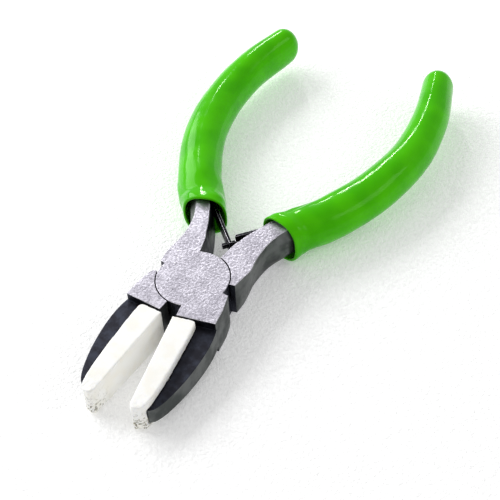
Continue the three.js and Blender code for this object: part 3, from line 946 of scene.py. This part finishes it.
@dataclass
class DippedGrip:
    """A vinyl sleeve: oval sections on the handle's path, with a rolled lip and a round end."""

    half: Half
    seed: int
    mouth: Mouth
    path: HandlePath = field(default_factory=HandlePath)
    mouth_half_width: float = 5.75
    mouth_half_height: float = 6.25
    radius: float = 5.85
    dip: float = 0.27
    end_half_width: float = 4.2
    end_half_height: float = 5.6
    wall: float = 1.35
    mouth_wall: float = 0.7
    squareness: float = 2.6
    square_run: float = 10.0
    entry: float = 1.6
    mouth_run: float = 4.0
    wall_start: float = 2.0  # the wall thickens from here
    wall_run: float = 6.0
    crease: float = 0.14
    crease_station: float = 7.5
    crease_run: float = 5.0
    crease_slant: float = 0.05  # radians for each millimetre along
    crease_level: float = 7.0  # station at which the crease lies at its own angle
    lumps: float = 0.1
    lumpy_run: float = 26.0  # the lumps are stronger as far as this from the mouth
    long_lump: float = 15.0  # wavelengths
    short_lump: float = 6.5
    plain_lip: float = 2.5  # the lip has no lumps, and they grow over this distance
    columns: int = 112
    cap_rows: int = 17
    shell_rows: int = 190
    lip_rows: int = 13
    bore_rows: int = 60
    shell_crowding: float = 1.15  # rows crowd towards the mouth with this power
    bore_crowding: float = 1.4

    @property
    def node(self) -> str:
        """The CAD node it stands for."""
        return f"{self.half.handle}_grip"

    @property
    def up(self) -> float:
        """1 where the closed half's +Z is up at rest, -1 where the half is turned over."""
        return 1.0 if self.half is Half.UPPER else -1.0

    def section(self, stations: Array) -> tuple[Array, Array, Array]:
        """Half width, half height and exponent of the section at each station.

        The width narrows with the square of the way along, the height dips at mid length, and near
        the mouth both go over to its squarer oval, which holds as far as the tang runs in.

        Args:
            stations: Distances along the path.
        Returns:
            Half widths, half heights and exponents.
        """
        u = np.clip(stations / self.path.total(), 0, 1)
        mouth = 1 - ease((stations - self.entry) / self.mouth_run)
        width = mix(self.radius, self.end_half_width, u * u)
        height = mix(self.radius, self.end_half_height, u) - self.dip * 4 * u * (1 - u)
        return (
            mix(width, self.mouth_half_width, mouth),
            mix(height, self.mouth_half_height, mouth),
            mix(2.0, self.squareness, mouth),
        )

    def rows(self) -> tuple[Array, Array, Array, Array]:
        """Lists the rings from the outer pole over the lip to the bore's pole.

        Returns:
            Station, inset from the outer surface, scale towards the axis, and share of the skin's
            unevenness, which is 1 on the outside and 0 in the bore.
        """
        total = self.path.total()
        cap = np.linspace(math.pi / 2, 0, self.cap_rows)[:-1]
        shell = total * np.linspace(1, 0, self.shell_rows) ** self.shell_crowding
        lip = np.linspace(0, math.pi, self.lip_rows)[1:-1]
        bore = total * np.linspace(0, 1, self.bore_rows) ** self.bore_crowding
        thick = mix(self.mouth_wall, self.wall, ease((bore - self.wall_start) / self.wall_run))
        end_inner = self.end_half_width - self.wall
        half_wall = self.mouth_wall / 2
        columns = (  # station, inset, scale and share, for each stretch of rings
            (total + self.end_half_width * np.sin(cap), 0 * cap, np.cos(cap), 0 * cap + 1),
            (shell, 0 * shell, 0 * shell + 1, 0 * shell + 1),
            (
                -half_wall * np.sin(lip),
                half_wall * (1 - np.cos(lip)),
                0 * lip + 1,
                0.5 * (1 + np.cos(lip)),
            ),
            (bore, thick, 0 * bore + 1, 0 * bore),
            (
                total + end_inner * np.sin(cap[::-1]),
                np.full(cap.size, self.wall),
                np.cos(cap[::-1]),
                0 * cap,
            ),
        )
        station, inset, scale, share = (np.concatenate(parts) for parts in zip(*columns))
        return station, inset, scale, share

    def build(self) -> bpy.types.Object:
        """Carries the section along the path.

        A point lies at centre + across * w * r * cos(a) and middle + h * r * sin(a), where
        r = (|cos a|^n + |sin a|^n)^(-1/n), and lumps and creases add to w and h.
        """
        station, inset, scale, outside = self.rows()
        centre, way = self.path.at(station)
        beyond = station - np.clip(station, 0, self.path.total())
        centre = centre + way * beyond[:, None]
        square = 1 - ease(station / self.square_run)
        centre[:, 1] += self.mouth.back * square
        turn_end = np.arctan2(-way[:, 0], way[:, 1])
        turn = mix(turn_end, math.radians(self.mouth.tilt), square)
        angle = np.linspace(0, 2 * math.pi, self.columns, endpoint=False)[None, :]
        width, height, exponent = (value[:, None] for value in self.section(station))
        c, s = np.cos(angle), np.sin(angle)
        reach = (np.abs(c) ** exponent + np.abs(s) ** exponent) ** (-1 / exponent)
        across = np.stack([np.cos(turn), np.sin(turn)], axis=-1)[:, None, :]
        rough = np.stack([
            centre[:, None, 0] + across[..., 0] * width * c,
            centre[:, None, 1] + across[..., 1] * width * c,
            height * s + 0 * c,
        ], axis=-1)
        swell = self.unevenness(rough, station[:, None], angle) * outside[:, None]
        size = (scale[:, None] * reach)[..., None]
        out_x = (width - inset[:, None] + swell)[..., None] * size * c[..., None]
        out_z = (height - inset[:, None] + swell)[..., None] * size * s[..., None]
        flat = centre[:, None, :] + across * out_x
        flat[..., 1] += self.mouth.top * s * square[:, None] * self.up
        points = np.concatenate([flat, JOINT.middle + out_z], axis=-1)
        mesh = sleeve_mesh(f"{self.half.handle}_sleeve", self.half.to_rest(points))
        return object_of(f"{self.half.handle}_sleeve", mesh)

    def unevenness(self, points: Array, station: Array, angle: Array) -> Array:
        """How far the skin stands out: lumps, stronger near the mouth, and a slanting crease there.

        Args:
            points: Places on the plain skin.
            station: Distance along the grip of each row.
            angle: Angle round the section of each column.
        Returns:
            Millimetres, one for each point.
        """
        near = 1 - ease(station / self.lumpy_run)
        long_lumps = ripple(points, self.long_lump, self.seed) * mix(0.6, 1.3, near)
        short_lumps = ripple(points, self.short_lump, self.seed + 1) * mix(0.12, 0.75, near)
        lumps = self.lumps * (long_lumps + short_lumps) * ease(station / self.plain_lip)
        slant = self.crease_slant * (station - self.crease_level)
        line = math.radians(self.mouth.crease_at) + slant
        gap = np.angle(np.exp(1j * (angle - line)))
        fold = bump_at(gap, 0.2, 0.14) - 1.5 * bump_at(gap, 0.0, 0.12)  # a ridge beside a groove
        return lumps + self.crease * bump_at(station, self.crease_station, self.crease_run) * fold

    def dress(self, made: bpy.types.Object, finishes: Finishes) -> None:
        """Lime vinyl all over."""
        made.data.materials.append(finishes.vinyl)
        settle(made, self.half.body, self.node)


# ---------------------------------------------------------------- return spring


@dataclass
class LeafSpring:
    """One leaf of the return spring, blacked, with its sheared edges rubbed bright."""

    half: Half
    edge_break: float = 0.08
    broken_over: float = 40.0  # degrees
    sharp_over: float = 35.0  # degrees

    @property
    def node(self) -> str:
        """The CAD node it stands for."""
        return f"{self.half.handle}_leaf_spring"

    @property
    def name(self) -> str:
        """The piece's name, which is its CAD body's too."""
        return f"{self.half.handle}_leaf"

    def build(self) -> bpy.types.Object:
        """Copies the CAD leaf and rounds its sheared edges."""
        bm = merged_copy(self.node)
        break_edges(bm, self.broken_over, self.edge_break)
        return object_of(self.name, mesh_of(bm, self.name), self.sharp_over)

    def dress(self, made: bpy.types.Object, finishes: Finishes) -> None:
        """Black faces with worn edges."""
        mesh = made.data
        mesh.materials.append(finishes.spring)
        mesh.materials.append(finishes.worn)
        mesh.polygons.foreach_set("material_index", worn_faces(mesh))
        settle(made, self.name, self.node)


@dataclass
class SpringRivet:
    """A small pan-head rivet inside the grip's mouth: the CAD node itself, with a better finish."""

    half: Half

    def dress(self, finishes: Finishes) -> None:
        """Gives the CAD node the worn steel."""
        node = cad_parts[f"{self.half.handle}_spring_rivet"]
        node.data.materials.clear()
        node.data.materials.append(finishes.worn)
        LOG.info("%s: CAD node, worn steel", node.name)


# ---------------------------------------------------------------- stage


@dataclass(frozen=True)
class Camera:
    """Where the tool is seen from: angles in degrees, sizes in millimetres."""

    azimuth: float = 32.38
    elevation: float = 45.30
    roll: float = -6.07
    distance: float = 408.7
    target: tuple[float, float, float] = (5.59, 18.03, 4.9)
    lens: float = 118.8

    def build(self) -> None:
        """Makes the camera. Its axes are turned about the line of sight by the roll."""
        yaw, pitch, roll = (math.radians(a) for a in (-self.azimuth, self.elevation, self.roll))
        ahead = Vector((math.sin(yaw), math.cos(yaw), 0)) * math.cos(pitch)
        ahead.z = -math.sin(pitch)
        level = Vector((math.cos(yaw), -math.sin(yaw), 0))
        lift = level.cross(ahead)
        right = level * math.cos(roll) + lift * math.sin(roll)
        up = lift * math.cos(roll) - level * math.sin(roll)
        data = bpy.data.cameras.new("camera")
        data.lens = self.lens
        data.sensor_width = 36
        data.clip_start, data.clip_end = 0.01, 10
        camera = bpy.data.objects.new("camera", data)
        turn = Matrix((right, up, -ahead)).transposed().to_4x4()
        place = Matrix.Translation((Vector(self.target) - ahead * self.distance) * MM)
        camera.matrix_world = place @ turn
        bpy.context.scene.collection.objects.link(camera)
        bpy.context.scene.camera = camera


@dataclass(frozen=True)
class SoftLight:
    """A rectangular soft box, aimed at the joint."""

    name: str
    place: tuple[float, float, float]
    size: tuple[float, float]
    power: float
    aim: tuple[float, float, float] = (0, 20, 0)

    def build(self) -> None:
        """Makes the lamp, facing the joint."""
        data = bpy.data.lights.new(self.name, "AREA")
        data.shape = "RECTANGLE"
        data.size, data.size_y = (side * MM for side in self.size)
        data.energy = self.power
        lamp = bpy.data.objects.new(self.name, data)
        lamp.location = Vector(self.place) * MM
        sight = Vector(self.aim) * MM - lamp.location
        lamp.rotation_mode = "QUATERNION"
        lamp.rotation_quaternion = sight.to_track_quat("-Z", "Y")
        bpy.context.scene.collection.objects.link(lamp)


@dataclass(frozen=True)
class Stage:
    """The white board, the lamps and the surrounding light."""

    board_size: float = 3000.0
    rest_y: float = 25.0  # the tool rests on the grips' mouths and on the jaws' tips
    tip_y: float = -40.0
    clearance: float = 0.05
    surround: float = 0.56
    lamps: tuple[SoftLight, ...] = (
        SoftLight("left_box", (-760, 120, 430), (900, 560), 7.2),
        SoftLight("right_box", (640, 260, 520), (420, 260), 0.9),
        SoftLight("back_strip", (-360, 560, 330), (24, 220), 0.8),
    )

    def build(self, finishes: Finishes) -> None:
        """Makes the board through the points that the tool rests on, then the light."""
        grip_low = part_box("left_grip")[0].z / MM
        tip_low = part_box("left_nylon_jaw")[0].z / MM
        slope = (tip_low - grip_low) / (self.tip_y - self.rest_y)
        side = self.board_size / 2
        corners = np.array([[-side, -side], [side, -side], [side, side], [-side, side]])
        heights = grip_low - self.clearance + slope * (corners[:, 1] - self.rest_y)
        mesh = bpy.data.meshes.new("board")
        mesh.from_pydata((np.column_stack([corners, heights]) * MM).tolist(), [], [[0, 1, 2, 3]])
        board = bpy.data.objects.new("board", mesh)
        board.data.materials.append(finishes.board)
        bpy.context.scene.collection.objects.link(board)
        world = bpy.data.worlds.new("surround")
        world.use_nodes = True
        back = world.node_tree.nodes["Background"]
        back.inputs["Color"].default_value = linear("#FFFFFF")
        back.inputs["Strength"].default_value = self.surround
        bpy.context.scene.world = world
        bpy.context.scene.view_settings.view_transform = "Standard"
        for lamp in self.lamps:
            lamp.build()


def main() -> None:
    """Builds the stage and every piece."""
    logging.basicConfig(level=logging.INFO, format="%(message)s")
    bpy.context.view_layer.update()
    Camera().build()
    finishes = Finishes()
    Stage().build(finishes)
    pieces: list[Piece] = []
    for number, half in enumerate(Half):
        pieces += [
            ForgedHalf(half),
            NylonJaw(half, seed=10 + number),
            DippedGrip(half, seed=40 + 7 * number, mouth=MOUTHS[half]),
            LeafSpring(half),
        ]
        SpringRivet(half).dress(finishes)
    pieces.append(PivotRivet())
    for piece in pieces:
        piece.dress(piece.build(), finishes)


if __name__ == "__main__":
    main()
